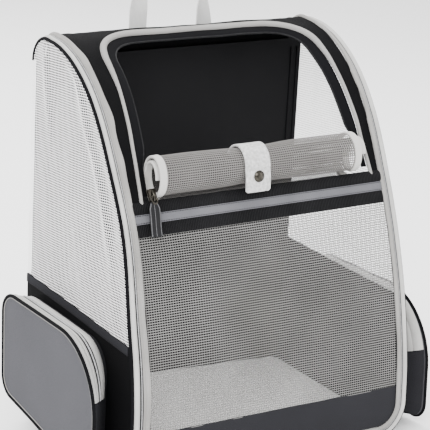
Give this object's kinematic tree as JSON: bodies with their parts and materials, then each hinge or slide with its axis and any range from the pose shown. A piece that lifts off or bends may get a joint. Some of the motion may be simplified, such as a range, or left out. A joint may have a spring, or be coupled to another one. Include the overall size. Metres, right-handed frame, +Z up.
{
  "type": "pet carrier backpack",
  "caption": "Soft-sided pet carrier worn as a backpack: mesh front and sides, padded back, rolled window flap, side pockets and a carry handle.",
  "frame": {"origin": "middle of the base's underside, on the surface the carrier stands on", "axes": "+Z up, the front with its window faces -Y, the wearer's back is at +Y, X is across"},
  "size_m": [0.4092, 0.2795, 0.4954],
  "materials": {
    "black_canvas": "fine plain weave, matt with a soft sheen",
    "grey_canvas": "heather weave, matt",
    "side_net": "open knitted net",
    "front_net": "open knitted net",
    "light_tape": "fine ribbed tape",
    "zip_teeth": "moulded coil",
    "black_piping": "covered cord",
    "black_tape": "ribbed zip tape",
    "reflective_tape": "satin reflective tape",
    "strap_leather": "grained",
    "dark_nickel": "dark nickel plate",
    "pull_ribbon": "ribbed ribbon with light edges",
    "floor_fleece": "short soft fleece",
    "light_webbing": "ribbed webbing",
    "black_webbing": "ribbed webbing",
    "black_plastic": "fine moulded texture"
  },
  "bodies": {
    "root": {"base_panel": "black_canvas", "floor_mat": "floor_fleece", "back_panel": "black_canvas", "side_mesh_left": "side_net", "side_mesh_right": "side_net", "side_lower_left": "black_canvas", "side_lower_right": "black_canvas", "zip_band_left": "light_tape", "zip_band_bottom": "light_tape", "zip_band_right": "light_tape", "zip_coil": "zip_teeth", "front_piping": "black_piping", "hem_strip": "black_canvas", "front_mesh": "front_net", "zip_tape_lower": "black_tape", "reflective_stripe": "reflective_tape", "zip_tape_upper": "black_tape", "upper_panel": "black_canvas", "window_piping": "light_tape", "window_zip_tape": "black_tape", "rolled_flap": "front_net", "flap_binding_left": "light_tape", "flap_binding_right": "light_tape", "snap_strap": "strap_leather", "snap_cap": "dark_nickel", "zip_slider": "dark_nickel", "zip_pull": "pull_ribbon", "pocket_gusset_left": "black_canvas", "pocket_zip_tape_left": "light_tape", "pocket_face_left": "grey_canvas", "pocket_piping_left": "black_piping", "pocket_gusset_right": "black_canvas", "pocket_zip_tape_right": "light_tape", "pocket_face_right": "grey_canvas", "pocket_piping_right": "black_piping", "carry_handle": "light_webbing", "shoulder_pad_left": "black_canvas", "strap_buckle_left": "black_plastic", "strap_webbing_left": "black_webbing", "shoulder_pad_right": "black_canvas", "strap_buckle_right": "black_plastic", "strap_webbing_right": "black_webbing"}
  },
  "joints": []
}
